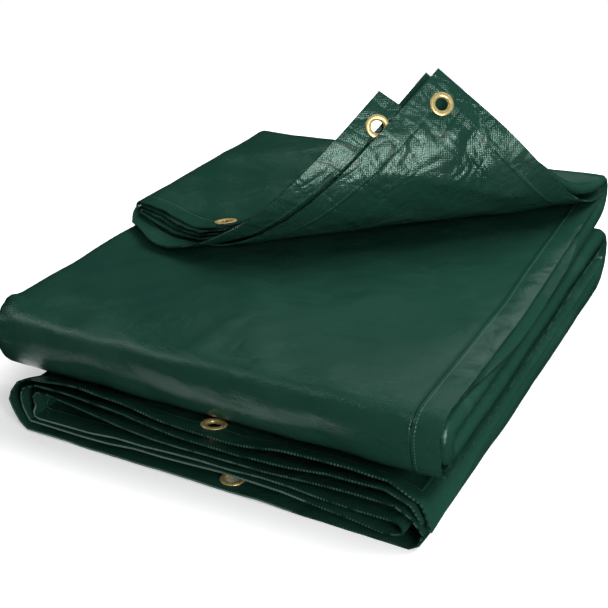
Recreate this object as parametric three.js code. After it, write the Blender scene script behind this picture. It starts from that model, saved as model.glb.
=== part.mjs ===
// A folded tarp. The coated cloth is doubled, folded in three across its width, and the strip of six
// layers is folded back and forth in four levels. The top level's right front corner is thrown back.
// Millimetres, Z up. The front hem faces -Y, and the origin is on the floor under the bundle's middle.
// Layers are counted from the outer one, which carries the front fold and the level under the flap.
import * as THREE from "three";

// Cloth and fit
const SHEET = 1.6;
const SEAT_GAP = 0.3;
const FLOOR = SHEET / 2;

// Bundle: the frame's origin in the bundle's own plan, and the fold axes along the length
const PLAN_CENTRE = [205, 265];
const FOLD_1_Y = 505;
const NOSE_Y = 45;
const FOLD_3_Y = 522;
const PATCH_DEPTH = 44;

// One row a level: the outer layer's middle, the side the others lie on, and their distances from it
const LEVELS = [
  { z: 45.6, side: -1, layers: [0, 8.6, 17.6, 28.1, 36.1, 44.8] },
  { z: 48.6, side: 1, layers: [0, 5.8, 11.6, 17.4, 23.2, 29] },
  { z: 114.2, side: -1, layers: [0, 5.8, 11.6, 17.4, 23.2, 29] },
  { z: 118.9, side: 1, layers: [0, 3.2, 8, 11, 14.7, 18.1] },
];

// Across the width, along the strip: run counts levels from the front hem (0) to the flap's hem (4).
// left and right are the outermost bends. edge and turn place the two free edges of the doubled cloth.
const WIDTHS = [
  { run: 0, left: -9, right: 428, edge1: 429, turn1: 14, edge2: 418, turn2: 1 },
  { run: 1, left: -20, right: 428, edge1: 428, turn1: 10, edge2: 412, turn2: 0 },
  { run: 2, left: -34, right: 434, edge1: 431, turn1: 1, edge2: 428, turn2: 0 },
  { run: 2.3, left: -35, right: 433, edge1: 431, turn1: 1.5, edge2: 438, turn2: 7 },
  { run: 2.6, left: -35, right: 430, edge1: 426, turn1: 1.5, edge2: 434, turn2: 4 },
  { run: 3, left: -36, right: 421, edge1: 420, turn1: 0, edge2: 404, turn2: 0 },
  { run: 4, left: -34, right: 404, edge1: 410, turn1: 0, edge2: 353, turn2: 0 },
];

// The loose front end of the lowest level: how loose it is at each depth, and how high it can stand
// there under the front fold. Then where each layer's hem runs, and how its bends stand.
const LOOSE_DEPTHS = [
  { y: 0, share: 1, ceiling: 70 },
  { y: 44, share: 0.6, ceiling: 43.2 },
  { y: 110, share: 0.22, ceiling: 45 },
  { y: 220, share: 0, ceiling: 46 },
];
const FRONT_X = [24, 75, 125, 175, 198, 240, 290, 340, 395];
const FRONT_HEMS = [
  { left: 24, right: 393, y: 0, heights: [58.5, 63, 60, 53, 50.5, 50.5, 56, 59.5, 58] },
  { left: 31, right: 390, y: -2, heights: [54, 54.5, 50, 44.5, 42, 41.5, 43.5, 48, 51] },
  { left: 39, right: 398, y: 1, heights: [46, 40.5, 32, 29, 28.5, 30, 30, 34.5, 34] },
  { left: 27, right: 396, y: -1, heights: [16, 16.5, 20, 21.5, 22.5, 23.5, 24.5, 21, 20] },
  { left: 17, right: 390, y: -3, heights: [12.5, 11.5, 14.5, 16.5, 17.5, 19, 18, 13, 6.8] },
  { left: 13, right: 413, y: -5, heights: [3.2, 2, 2.2, 2.6, 2.7, 2.7, 2.4, 1.6, 0.9] },
];
const FRONT_BENDS = {
  outerLeft: [[9, 54], [-8, 33], [-3, 18], [5, 7.5]],
  middleLeft: [[15, 48.5], [9, 37.5], [11.5, 22.5]],
  innerLeft: [[22, 43.5], [25, 29], [19.5, 18]],
  outerRight: [[413, 27.5], [424, 16], [421, 5.5]],
  innerRight: [[406, 18.5], [406, 9.5]],
};
const FRONT_EDGES = [[[430, 19], [422, 43]], [[423, 26], [414, 41]]];

// The flap's hem across the width, a row for each layer: x and y in the bundle's plan
const FLAP_HEMS = [
  [[-34, 257], [30, 234], [75, 221], [104, 214], [150, 210], [410, 208]],
  [[-34, 240], [-19, 231], [13, 208], [30, 196], [67, 187], [150, 184], [353, 180]],
  [[-34, 252], [-4, 240], [30, 221], [48, 214], [85, 209.5], [104, 212], [150, 209], [404, 202]],
  [[-34, 255], [-8, 247], [35, 225], [60, 216], [80, 212], [104, 213], [150, 209], [404, 202]],
  [[-34, 256], [-1, 248], [20, 237], [60, 217], [91, 209], [104, 211], [150, 209], [404, 202]],
  [[-34, 257], [6, 247], [31, 236], [65, 221], [79, 217], [104, 213], [150, 209], [404, 202]],
];

// The corner thrown back: a roll about a slanting line on the flap, given by its bearing from X, its
// distance from the plan's origin, its radius and its turn, the last two with their growth along it.
// The layers spread apart as they turn.
const ROLL = {
  bearing: 0.711,
  offset: -121.2,
  radius: 79.1,
  radiusGrowth: 4.8,
  turn: 2.018,
  turnGrowth: 0.085,
};
const ROLL_GROWTH_LENGTH = 400;
const ROLL_LAYERS = [0, 5.4, 12.8, 16, 20, 23.4];
const ROLL_SPREAD_LENGTH = 120;

// Eyelets
const EYELET = { rim: 12, hole: 6.5, barrel: 7.2, face: 2.1, back: 1.7 };
const EYELET_STEPS = 20;
const PLATE_STEPS = 6;

const CLOTH_LOOK = { color: 0x1f4a3a, roughness: 0.35, metalness: 0 };
const BRASS_LOOK = { color: 0xd8bd6a, roughness: 0.25, metalness: 1 };

const mix = (a, b, share) => a + (b - a) * share;
const clamp = (value) => Math.min(1, Math.max(0, value));
const smooth = (share) => share * share * (3 - 2 * share);

// A value read off a table of rising [key, value] pairs
function lookUp(pairs, key) {
  const last = pairs.length - 1;
  if (key <= pairs[0][0]) return pairs[0][1];
  if (key >= pairs[last][0]) return pairs[last][1];
  const i = pairs.findIndex(([at]) => at > key);
  const [from, to] = [pairs[i - 1], pairs[i]];
  return mix(from[1], to[1], (key - from[0]) / (to[0] - from[0]));
}

const widthAt = (run, name) => lookUp(WIDTHS.map((row) => [row.run, row[name]]), run);
const looseAt = (y, name) => lookUp(LOOSE_DEPTHS.map((row) => [row.y, row[name]]), y);
const frontHeight = (layer, x) => lookUp(FRONT_X.map((at, i) => [at, FRONT_HEMS[layer].heights[i]]), x);

// Rows along the strip. place(x, distance) gives the point that far from the outer layer.
const rows = [];

function addFlatRow(level, run, y) {
  const { z, side, layers } = LEVELS[level];
  rows.push({ run, level, y, layers, place: (x, distance) => [x, y, z + side * distance] });
}

// A fold between two levels: the layers turn about its axis, the outer one inside it or outside it
function addFold(level, run, axisY, backwards, steps) {
  const [below, above] = [LEVELS[level], LEVELS[level + 1]];
  const axisZ = (below.z + above.z) / 2;
  const radius = (above.z - below.z) / 2;
  for (let step = 0; step <= steps; step++) {
    const share = step / steps;
    const angle = Math.PI * (share - 0.5);
    const layers = below.layers.map((d, i) => mix(d, above.layers[i], share));
    const place = (x, distance) => {
      const reach = backwards ? radius + distance : radius - distance;
      return [x, axisY + (backwards ? 1 : -1) * reach * Math.cos(angle), axisZ + reach * Math.sin(angle)];
    };
    rows.push({ run, level: level + 0.5, y: axisY, layers, place });
  }
}

const BACK_STEPS = 5;
const NOSE_STEPS = 8;
const FLAP_STEPS = 7;
const ROW_FOLLOWS_HEM = 0.6;
[0, PATCH_DEPTH, 110, 220, 360].forEach((y) => addFlatRow(0, y / FOLD_1_Y, y));
addFold(0, 1, FOLD_1_Y, true, BACK_STEPS);
[360, 200].forEach((y) => addFlatRow(1, 1 + (FOLD_1_Y - y) / (FOLD_1_Y - NOSE_Y), y));
addFold(1, 2, NOSE_Y, false, NOSE_STEPS);
[150, 270, 400].forEach((y) => addFlatRow(2, 2 + (y - NOSE_Y) / (FOLD_3_Y - NOSE_Y), y));
addFold(2, 3, FOLD_3_Y, true, BACK_STEPS);
for (let step = 1; step <= FLAP_STEPS; step++) addFlatRow(3, 3 + step / FLAP_STEPS, null);

// The corner's roll: a point of the flap's plan, at a distance above the flap's lowest layer
function rollBack(x, y, distance) {
  const along = [Math.cos(ROLL.bearing), Math.sin(ROLL.bearing)];
  const across = [Math.sin(ROLL.bearing), -Math.cos(ROLL.bearing)];
  const run = x * along[0] + y * along[1];
  const beyond = x * across[0] + y * across[1] - ROLL.offset;
  const base = LEVELS[3].z;
  if (beyond <= 0) return [x, y, base + distance];
  const growth = run / ROLL_GROWTH_LENGTH;
  const radius = ROLL.radius + ROLL.radiusGrowth * growth;
  const turn = ROLL.turn + ROLL.turnGrowth * growth;
  const spread = lookUp(LEVELS[3].layers.map((d, i) => [d, ROLL_LAYERS[i]]), distance);
  const reach = radius - mix(distance, spread, smooth(clamp(beyond / ROLL_SPREAD_LENGTH)));
  const angle = Math.min(beyond / radius, turn);
  const straight = Math.max(0, beyond - radius * turn);
  const forward = ROLL.offset + reach * Math.sin(angle) + straight * Math.cos(turn);
  const height = radius - reach * Math.cos(angle) + straight * Math.sin(turn);
  return [run * along[0] + forward * across[0], run * along[1] + forward * across[1], base + height];
}

// Columns across the cloth, from one free edge to the other. at(row) gives x and the distance from the
// outer layer, front gives x and height at the loose front hem, and hem is the column's hem on the flap.
const LEFT_BENDS = [[0, 5], [1, 4], [2, 3]];
const RIGHT_BENDS = [[2, 5], [3, 4]];
const BEND_DEPTH = 0.8;
const NEST_GAP = 1.5;
const halfBetween = (row, [a, b]) => (row.layers[b] - row.layers[a]) / 2;

// Where a bend's straight layers end, and how far it reaches beyond them
function bendAt(row, pairs, pair, side) {
  const outermost = widthAt(row.run, side < 0 ? "left" : "right");
  const half = halfBetween(row, pair);
  const depth = BEND_DEPTH * half;
  const inset = halfBetween(row, pairs[0]) - half + NEST_GAP * pairs.indexOf(pair) + depth;
  const middle = (row.layers[pair[0]] + row.layers[pair[1]]) / 2;
  return { end: outermost - side * inset, depth, half, middle };
}

const columns = [];
const pairWith = (pairs, layer) => pairs.find((pair) => pair.includes(layer));
const hemOf = (layer, x) => lookUp(FLAP_HEMS[layer], x);

function layerEnd(row, layer, side) {
  const pairs = side < 0 ? LEFT_BENDS : RIGHT_BENDS;
  const pair = pairWith(pairs, layer);
  if (pair) return bendAt(row, pairs, pair, side).end;
  return widthAt(row.run, layer === 0 ? "edge1" : "edge2") - PATCH_DEPTH;
}

// stops: each line's share of the layer's width, and its x on the flap, where the layers' lines agree
function addLayer(layer, stops) {
  const front = FRONT_HEMS[layer];
  for (const [share, flapX] of stops) {
    const frontX = mix(front.left, front.right, share);
    const x = (row) => {
      const even = mix(layerEnd(row, layer, -1), layerEnd(row, layer, 1), share);
      return flapX === undefined ? even : mix(even, flapX, clamp(row.run - 2));
    };
    columns.push({
      layer,
      at: (row) => [x(row), row.layers[layer]],
      front: [frontX, frontHeight(layer, frontX), front.y],
      hem: (x) => hemOf(layer, x),
    });
  }
}

function addBend(pairs, pair, side, downwards, frontPoints) {
  const points = downwards ? frontPoints : [...frontPoints].reverse();
  points.forEach(([x, z], i) => {
    const share = (i + 1) / (points.length + 1);
    const angle = (downwards ? 1 : -1) * Math.PI * (share - 0.5);
    const [from, to] = downwards ? pair : [pair[1], pair[0]];
    columns.push({
      layer: null,
      at: (row) => {
        const bend = bendAt(row, pairs, pair, side);
        const beyond = bend.depth * Math.cos(angle);
        return [bend.end + side * beyond, bend.middle + bend.half * Math.sin(angle)];
      },
      front: [x, z, mix(FRONT_HEMS[from].y, FRONT_HEMS[to].y, share)],
      hem: (x2) => mix(hemOf(from, x2), hemOf(to, x2), share),
    });
  });
}

// The free edge of the outer layer or of the one under it, and the line on which it starts to turn
function addEdge(layer, outwards) {
  const [edgeName, turnName] = layer === 0 ? ["edge1", "turn1"] : ["edge2", "turn2"];
  const steps = [{ inset: 0, turned: 1 }, { inset: 14, turned: 0.25 }];
  const made = steps.map(({ inset, turned }, i) => ({
    layer,
    at: (row) => {
      const turn = turned * widthAt(row.run, turnName);
      return [widthAt(row.run, edgeName) - inset, row.layers[layer] + turn];
    },
    front: [...FRONT_EDGES[layer][i], FRONT_HEMS[layer].y],
    hem: (x) => hemOf(layer, x),
  }));
  columns.push(...(outwards ? made.reverse() : made));
}

// Each layer's lines: its share of the layer's width, and its x on the flap
const HIDDEN_STOPS = [
  [0], [0.228, 82], [0.33, 122], [0.44, 165], [0.54, 210], [0.655, 255], [0.76, 303], [0.87, 345], [1],
];
const STOPS = [
  [
    [0], [0.12, 30], [0.228, 82], [0.33, 122], [0.469, 165], [0.577, 210], [0.68, 255], [0.8, 303],
    [0.9, 340], [1],
  ],
  [[0], [0.12, 30], [0.24, 82], [0.36, 122], [0.5, 165], [0.63, 210], [0.76, 250], [0.87, 284], [1]],
  HIDDEN_STOPS,
  HIDDEN_STOPS,
  HIDDEN_STOPS,
  [
    [0], [0.12, 30], [0.228, 82], [0.316, 122], [0.413, 165], [0.511, 210], [0.609, 255], [0.717, 303],
    [0.86, 345], [1],
  ],
];
addEdge(0, false);
addLayer(0, [...STOPS[0]].reverse());
addBend(LEFT_BENDS, LEFT_BENDS[0], -1, true, FRONT_BENDS.outerLeft);
addLayer(5, STOPS[5]);
addBend(RIGHT_BENDS, RIGHT_BENDS[0], 1, false, FRONT_BENDS.outerRight);
addLayer(2, [...STOPS[2]].reverse());
addBend(LEFT_BENDS, LEFT_BENDS[2], -1, true, FRONT_BENDS.innerLeft);
addLayer(3, STOPS[3]);
addBend(RIGHT_BENDS, RIGHT_BENDS[1], 1, true, FRONT_BENDS.innerRight);
addLayer(4, [...STOPS[4]].reverse());
addBend(LEFT_BENDS, LEFT_BENDS[1], -1, false, FRONT_BENDS.middleLeft);
addLayer(1, STOPS[1]);
addEdge(1, true);

// The middle surface: a grid of points, a row for each station and a column for each line
function clothPoint(row, column) {
  const [x, distance] = column.at(row);
  if (row.run === 4) return rollBack(x, column.hem(x), distance);
  if (row.run > 3) {
    const share = (row.run - 3) / (1 - 1 / FLAP_STEPS);
    const hem = mix(hemOf(0, x), column.hem(x), ROW_FOLLOWS_HEM);
    return rollBack(x, mix(FOLD_3_Y, hem + PATCH_DEPTH, share), distance);
  }
  const packed = row.place(x, distance);
  if (row.level !== 0) return packed;
  const share = looseAt(row.y, "share");
  const [frontX, frontZ, frontY] = column.front;
  const upper = mix(LEVELS[0].z, frontHeight(0, frontX), share);
  const pressed = Math.min(1, looseAt(row.y, "ceiling") / upper);
  const height = pressed * mix(packed[2], frontZ, share);
  return [mix(packed[0], frontX, share), mix(packed[1], row.y + frontY, share), Math.max(FLOOR, height)];
}

const grid = rows.map((row) => columns.map((column) => new THREE.Vector3(...clothPoint(row, column))));
const lastRow = rows.length - 1;
const lastColumn = columns.length - 1;

function gridNormal(r, c) {
  const along = grid[Math.min(r + 1, lastRow)][c].clone().sub(grid[Math.max(r - 1, 0)][c]);
  const across = grid[r][Math.min(c + 1, lastColumn)].clone().sub(grid[r][Math.max(c - 1, 0)]);
  return along.cross(across).normalize();
}

// The patches that hold the eyelets: the cells of the grid that each takes out of the sheet, the eyelet's
// distance in from the hem, its distance from the free side edge if the patch has one, and whether its
// rolled face is on the sheet's first side or on the other
const columnsOf = (layer) => columns.flatMap((column, c) => (column.layer === layer ? [c] : []));
const outer = columnsOf(0);
const top = columnsOf(5);
const inner = columnsOf(1);
const flapHemRow = lastRow - 1;
const PATCHES = [
  { name: "front_upper", row: 0, from: outer[6], to: outer[7], hemInset: 22, facing: 1 },
  { name: "front_lower", row: 0, from: top[5], to: top[6], hemInset: 17, facing: -1 },
  { name: "flap_top", row: flapHemRow, from: top[2], to: top[3], hemInset: 18, facing: 1 },
  {
    name: "corner_inner",
    row: flapHemRow,
    from: inner[8],
    to: inner[10],
    hemInset: 22,
    edgeInset: 31,
    facing: -1,
  },
  {
    name: "corner_outer",
    row: flapHemRow,
    from: outer[0],
    to: outer[2],
    hemInset: 26,
    edgeInset: 26,
    facing: 1,
  },
];
const inPatch = (r, c) => PATCHES.some((patch) => r === patch.row && c >= patch.from && c < patch.to);

// A cell's corners in turn, from an end of the diagonal it is cut along: the one nearer the roll's line
function cellCorners(r, c) {
  const corners = [[r, c], [r + 1, c], [r + 1, c + 1], [r, c + 1]];
  const alongRoll = (i) => {
    const [start, end] = [corners[i], corners[i + 2]].map(([row, column]) => grid[row][column]);
    const line = end.clone().sub(start).normalize();
    return Math.abs(line.x * Math.cos(ROLL.bearing) + line.y * Math.sin(ROLL.bearing));
  };
  return alongRoll(1) > alongRoll(0) ? [...corners.slice(1), corners[0]] : corners;
}

function sheetGeometry() {
  const positions = [];
  const faces = [];
  for (const side of [0.5, -0.5])
    for (let r = 0; r <= lastRow; r++)
      for (let c = 0; c <= lastColumn; c++)
        positions.push(
          ...grid[r][c].clone().addScaledVector(gridNormal(r, c), side * SHEET).toArray(),
        );
  const gridSize = (lastRow + 1) * (lastColumn + 1);
  const index = (r, c, under) => (under ? gridSize : 0) + r * (lastColumn + 1) + c;
  const used = (r, c) => r >= 0 && r < lastRow && c >= 0 && c < lastColumn && !inPatch(r, c);
  const quad = (a, b, c, d) => faces.push(a, b, c, a, c, d);
  const rim = (r1, c1, r2, c2) =>
    quad(index(r1, c1), index(r2, c2), index(r2, c2, true), index(r1, c1, true));
  for (let r = 0; r < lastRow; r++)
    for (let c = 0; c < lastColumn; c++) {
      if (!used(r, c)) continue;
      const cell = cellCorners(r, c);
      quad(...cell.map(([row, column]) => index(row, column)));
      const [first, ...others] = cell.map(([row, column]) => index(row, column, true));
      quad(first, ...others.reverse());
      if (!used(r - 1, c)) rim(r, c, r, c + 1);
      if (!used(r + 1, c)) rim(r + 1, c + 1, r + 1, c);
      if (!used(r, c - 1)) rim(r + 1, c, r, c);
      if (!used(r, c + 1)) rim(r, c + 1, r + 1, c + 1);
    }
  return new THREE.BufferGeometry()
    .setAttribute("position", new THREE.Float32BufferAttribute(positions, 3))
    .setIndex(faces);
}

// A patch is a plate with a round hole, on the bilinear face between the corners of its cells. u runs
// along the hem and v from the hem into the cloth, both from 0 to 1.
function patchFace({ row, from, to }) {
  const [hemRow, insideRow] = row === 0 ? [0, 1] : [row + 1, row];
  const corners = [[hemRow, from], [hemRow, to], [insideRow, from], [insideRow, to]];
  const points = corners.map(([r, c]) => grid[r][c]);
  const normals = corners.map(([r, c]) => gridNormal(r, c));
  const blend = (four, u, v) =>
    four[0].clone().lerp(four[1], u).lerp(four[2].clone().lerp(four[3], u), v);
  return {
    width: points[0].distanceTo(points[1]),
    depth: points[0].distanceTo(points[2]),
    point: (u, v) => blend(points, u, v),
    normal: (u, v) => blend(normals, u, v).normalize(),
  };
}

// The eyelet's own axes: its middle, the cloth's outward direction there, and the hem's direction
function eyeletFrame(patch, face) {
  const fromSide = patch.edgeInset ? patch.edgeInset / face.width : 0.5;
  const u = patch.to === lastColumn ? 1 - fromSide : fromSide;
  const v = patch.hemInset / face.depth;
  const middle = face.point(u, v);
  const hemward = face.point(1, v).sub(face.point(0, v)).normalize();
  const inwards = face.point(u, 1).sub(face.point(u, 0));
  const outwards = hemward.clone().cross(inwards).normalize();
  outwards.multiplyScalar(Math.sign(outwards.dot(face.normal(u, v))));
  return { u, v, middle, hemward, outwards };
}

// Three rings of points on each face: the hole, the eyelet's flat seat, and the plate's own outline
function patchGeometry(patch, face, eyelet) {
  const gaps = [patch.from === 0 ? 0 : SEAT_GAP, patch.to === lastColumn ? 0 : SEAT_GAP];
  const [uMin, uMax] = [gaps[0] / face.width, 1 - gaps[1] / face.width];
  const vMax = 1 - SEAT_GAP / face.depth;
  const corners = [[uMax, 0], [uMax, vMax], [uMin, vMax], [uMin, 0]];
  const across = eyelet.outwards.clone().cross(eyelet.hemward);
  const seen = corners.map(([u, v]) => {
    const spoke = face.point(u, v).sub(eyelet.middle);
    return new THREE.Vector2(spoke.dot(eyelet.hemward), spoke.dot(across));
  });
  const positions = [];
  const ring = (point, normal) => {
    for (const side of [0.5, -0.5])
      positions.push(...point.clone().addScaledVector(normal, side * SHEET).toArray());
  };
  const outline = corners.flatMap(([u, v], i) => {
    const next = (i + 1) % corners.length;
    const sweep = Math.atan2(seen[i].cross(seen[next]), seen[i].dot(seen[next]));
    return Array.from({ length: PLATE_STEPS }, (_, k) => {
      const spoke = seen[i].clone().rotateAround(new THREE.Vector2(), (sweep * k) / PLATE_STEPS);
      const [before, after] = [seen[i].cross(spoke), seen[next].cross(spoke)];
      const share = before / (before - after);
      return [mix(u, corners[next][0], share), mix(v, corners[next][1], share)];
    });
  });
  for (const [u, v] of outline) {
    const point = face.point(u, v);
    const spoke = point.clone().sub(eyelet.middle);
    spoke.addScaledVector(eyelet.outwards, -spoke.dot(eyelet.outwards)).normalize();
    for (const radius of [EYELET.barrel + SEAT_GAP, EYELET.rim + SEAT_GAP])
      ring(eyelet.middle.clone().addScaledVector(spoke, radius), eyelet.outwards);
    ring(point, face.normal(u, v));
  }
  const faces = [];
  const quad = (a, b, c, d) => faces.push(a, b, c, a, c, d);
  const at = (k, r, under) => (k % outline.length) * 6 + r * 2 + (under ? 1 : 0);
  for (let k = 0; k < outline.length; k++) {
    for (const r of [0, 1]) {
      quad(at(k, r), at(k, r + 1), at(k + 1, r + 1), at(k + 1, r));
      quad(at(k, r, true), at(k + 1, r, true), at(k + 1, r + 1, true), at(k, r + 1, true));
    }
    quad(at(k, 0), at(k + 1, 0), at(k + 1, 0, true), at(k, 0, true));
    quad(at(k, 2), at(k, 2, true), at(k + 1, 2, true), at(k + 1, 2));
  }
  const spin = eyelet.hemward.clone().cross(face.point(eyelet.u, 1).sub(face.point(eyelet.u, 0)));
  if (spin.dot(eyelet.outwards) < 0) faces.reverse();
  return new THREE.BufferGeometry()
    .setAttribute("position", new THREE.Float32BufferAttribute(positions, 3))
    .setIndex(faces);
}

// An eyelet's section: a barrel through the cloth with a rolled face, and a washer behind it
function eyeletGeometry() {
  const { rim, hole, barrel, face, back } = EYELET;
  const seat = SHEET / 2 + SEAT_GAP;
  const crown = (barrel + rim) / 2;
  const section = [
    [hole, -back + 0.4], [barrel, -back], [rim - 1, -back + 0.1], [rim - 0.4, -seat], [barrel, -seat],
    [barrel, seat], [rim - 0.2, seat], [rim, seat + 0.3], [rim - 0.5, face - 0.3], [crown, face],
    [barrel, face - 0.3], [hole, face - 1],
  ];
  const points = [...section, section[0]].map(([r, z]) => new THREE.Vector2(r, z));
  return new THREE.LatheGeometry(points, EYELET_STEPS).rotateX(Math.PI / 2);
}

function piece(name, geometry, look) {
  const mesh = new THREE.Mesh(geometry, new THREE.MeshStandardMaterial(look));
  mesh.name = name;
  return mesh;
}

const tarp = new THREE.Group();
tarp.add(piece("tarp_sheet", sheetGeometry(), CLOTH_LOOK));
for (const patch of PATCHES) {
  const face = patchFace(patch);
  const frame = eyeletFrame(patch, face);
  tarp.add(piece(`hem_patch_${patch.name}`, patchGeometry(patch, face, frame), CLOTH_LOOK));
  const eyelet = piece(`eyelet_${patch.name}`, eyeletGeometry(), BRASS_LOOK);
  const axis = frame.outwards.clone().multiplyScalar(patch.facing);
  const sideways = axis.clone().cross(frame.hemward);
  eyelet.applyMatrix4(new THREE.Matrix4().makeBasis(frame.hemward, sideways, axis).setPosition(frame.middle));
  tarp.add(eyelet);
}
tarp.position.set(-PLAN_CENTRE[0], -PLAN_CENTRE[1], 0);

export default tarp;
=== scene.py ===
"""Dresses the folded tarp: the coated cloth with its folds and creases, the brass eyelets and the studio."""

import math

import bpy
import numpy as np
from bpy.props import FloatProperty, FloatVectorProperty, PointerProperty
from mathutils import Matrix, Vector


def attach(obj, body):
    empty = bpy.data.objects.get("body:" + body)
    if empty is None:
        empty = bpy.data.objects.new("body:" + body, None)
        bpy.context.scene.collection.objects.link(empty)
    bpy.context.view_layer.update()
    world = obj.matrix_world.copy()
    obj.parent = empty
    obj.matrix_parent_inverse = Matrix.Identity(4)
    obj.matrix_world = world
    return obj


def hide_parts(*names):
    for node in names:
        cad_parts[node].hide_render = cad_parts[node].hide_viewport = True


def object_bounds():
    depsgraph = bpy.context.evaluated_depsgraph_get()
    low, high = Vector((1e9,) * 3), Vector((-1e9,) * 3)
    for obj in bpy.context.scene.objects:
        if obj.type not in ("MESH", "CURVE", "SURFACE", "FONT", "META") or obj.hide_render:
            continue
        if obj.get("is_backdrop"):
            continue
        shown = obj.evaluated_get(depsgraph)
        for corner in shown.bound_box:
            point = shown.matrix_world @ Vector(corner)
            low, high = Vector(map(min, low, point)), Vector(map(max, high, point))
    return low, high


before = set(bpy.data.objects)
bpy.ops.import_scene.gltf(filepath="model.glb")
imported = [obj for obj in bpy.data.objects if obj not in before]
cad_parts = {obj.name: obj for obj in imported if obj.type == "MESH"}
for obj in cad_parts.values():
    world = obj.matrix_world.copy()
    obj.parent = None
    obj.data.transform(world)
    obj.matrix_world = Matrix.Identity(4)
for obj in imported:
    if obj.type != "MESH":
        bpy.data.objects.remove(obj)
CAD_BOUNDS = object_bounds()

bl_info = {
    "name": "Folded Tarp",
    "version": (1, 0, 0),
    "blender": (4, 5, 0),
    "location": "3D View > Sidebar > Tarp",
    "description": "Builds the cloth, eyelets and studio of a folded tarp",
    "category": "Object",
}

MM = 0.001

# The bundle's sizes in millimetres, as the solid has them. The plan's origin is the front left corner.
PLAN_CENTRE = np.array([205.0, 265.0, 0.0])
FOLD_1_Y = 505.0
NOSE_Y = 45.0
FOLD_3_Y = 522.0
FLAP_HEM_Y = 208
LEVEL_HEIGHTS = [45.6, 48.6, 114.2, 118.9]
LEVEL_SIDES = [-1, 1, -1, 1]
LEVEL_LAYERS = np.array([
    [0, 8.6, 17.6, 28.1, 36.1, 44.8],
    [0, 5.8, 11.6, 17.4, 23.2, 29],
    [0, 5.8, 11.6, 17.4, 23.2, 29],
    [0, 3.2, 8, 11, 14.7, 18.1],
])

# How finely the strip is cut along its run: close rows at the hem and from there on even ones, on each level
# and round each of the three folds
HEM_STATIONS = [0, 1.2, 3, 6, 10, 14, 18, 22, 24.6, 25.6, 28, 33, 38, 44]
PAST_HEM_Y = 54
LEVEL_STEPS = (24, 15, 80, 40)
FOLD_STEPS = (7, 34, 7)
# Across the width: close lines at the free edges, and even ones on the layers that show and the hidden ones
EDGE_INSETS = [0, 1.2, 3, 6, 10, 15, 20, 24.6, 25.6, 29, 34, 39]
TOP_LINES, BOTTOM_LINES, SECOND_LINES, HIDDEN_LINES = 60, 32, 22, 13

# Across the width, by run along the strip: the outermost bends, and the free edges with their turn
WIDTHS = {
    "left": [(0, -9), (1, -20), (2, -34), (2.3, -35), (2.6, -35), (3, -36), (4, -34)],
    "right": [(0, 428), (1, 428), (2, 434), (2.3, 433), (2.6, 430), (3, 421), (4, 404)],
    "edge1": [(0, 429), (1, 428), (2, 431), (2.3, 431), (2.6, 426), (3, 420), (4, 410)],
    "turn1": [(0, 14), (1, 10), (2, 1), (2.3, 1.5), (2.6, 1.5), (3, 0), (4, 0)],
    "edge2": [(0, 418), (1, 412), (2, 428), (2.3, 438), (2.6, 434), (3, 404), (4, 353)],
    "turn2": [(0, 1), (1, 0), (2, 0), (2.3, 7), (2.6, 4), (3, 0), (4, 0)],
}

# The nose's section from its bottom to its top, as shares of its radius before its axis and over it: a wall
# that leans back under its own top, and is tucked in below
NOSE_SECTION = np.array([
    (0, -1), (0.42, -0.93), (0.7, -0.74), (0.86, -0.45), (0.96, 0.05), (0.99, 0.35), (0.95, 0.6),
    (0.83, 0.79), (0.63, 0.92), (0.36, 0.985), (0, 1),
])

# The loose front end of the lowest level
LOOSE_Y = [0, 44, 110, 220]
LOOSE_SHARES = [1, 0.6, 0.22, 0]
LOOSE_CEILINGS = [70, 43.2, 45, 46]
FRONT_X = [24, 75, 125, 175, 198, 240, 290, 340, 395]
FRONT_HEMS = [
    {"left": 24, "right": 393, "y": 0, "heights": [58.5, 63, 60, 53, 50.5, 50.5, 56, 59.5, 58]},
    {"left": 31, "right": 390, "y": -2, "heights": [54, 54.5, 50, 44.5, 42, 41.5, 43.5, 48, 51]},
    {"left": 39, "right": 398, "y": 1, "heights": [46, 40.5, 32, 29, 28.5, 30, 30, 34.5, 34]},
    {"left": 27, "right": 396, "y": -1, "heights": [16, 16.5, 20, 21.5, 22.5, 23.5, 24.5, 21, 20]},
    {"left": 17, "right": 390, "y": -3, "heights": [12.5, 11.5, 14.5, 16.5, 17.5, 19, 18, 13, 6.8]},
    {"left": 13, "right": 413, "y": -5, "heights": [3.2, 2, 2.2, 2.6, 2.7, 2.7, 2.4, 1.6, 0.9]},
]
LEFT_BENDS = [(0, 5), (1, 4), (2, 3)]
RIGHT_BENDS = [(2, 5), (3, 4)]
FRONT_BENDS = {
    (-1, 0): [(9, 54), (-8, 33), (-3, 18), (5, 7.5)],
    (-1, 1): [(15, 48.5), (9, 37.5), (11.5, 22.5)],
    (-1, 2): [(22, 43.5), (25, 29), (19.5, 18)],
    (1, 0): [(413, 27.5), (424, 16), (421, 5.5)],
    (1, 1): [(406, 18.5), (406, 9.5)],
}
FRONT_EDGES = [[(430, 19), (422, 43)], [(423, 26), (414, 41)]]
LOWEST = 0.8
# A bend's reach as a share of its half height, and how much further in each nested bend ends
BEND_DEPTH = 0.8
NEST_GAP = 1.5
# The free edges turn up or down within this depth, most of it within the bend
EDGE_DEPTH = 44.0
EDGE_BEND = 14
EDGE_TURN = [(0, 1), (EDGE_BEND, 0.25), (EDGE_DEPTH, 0)]

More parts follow.
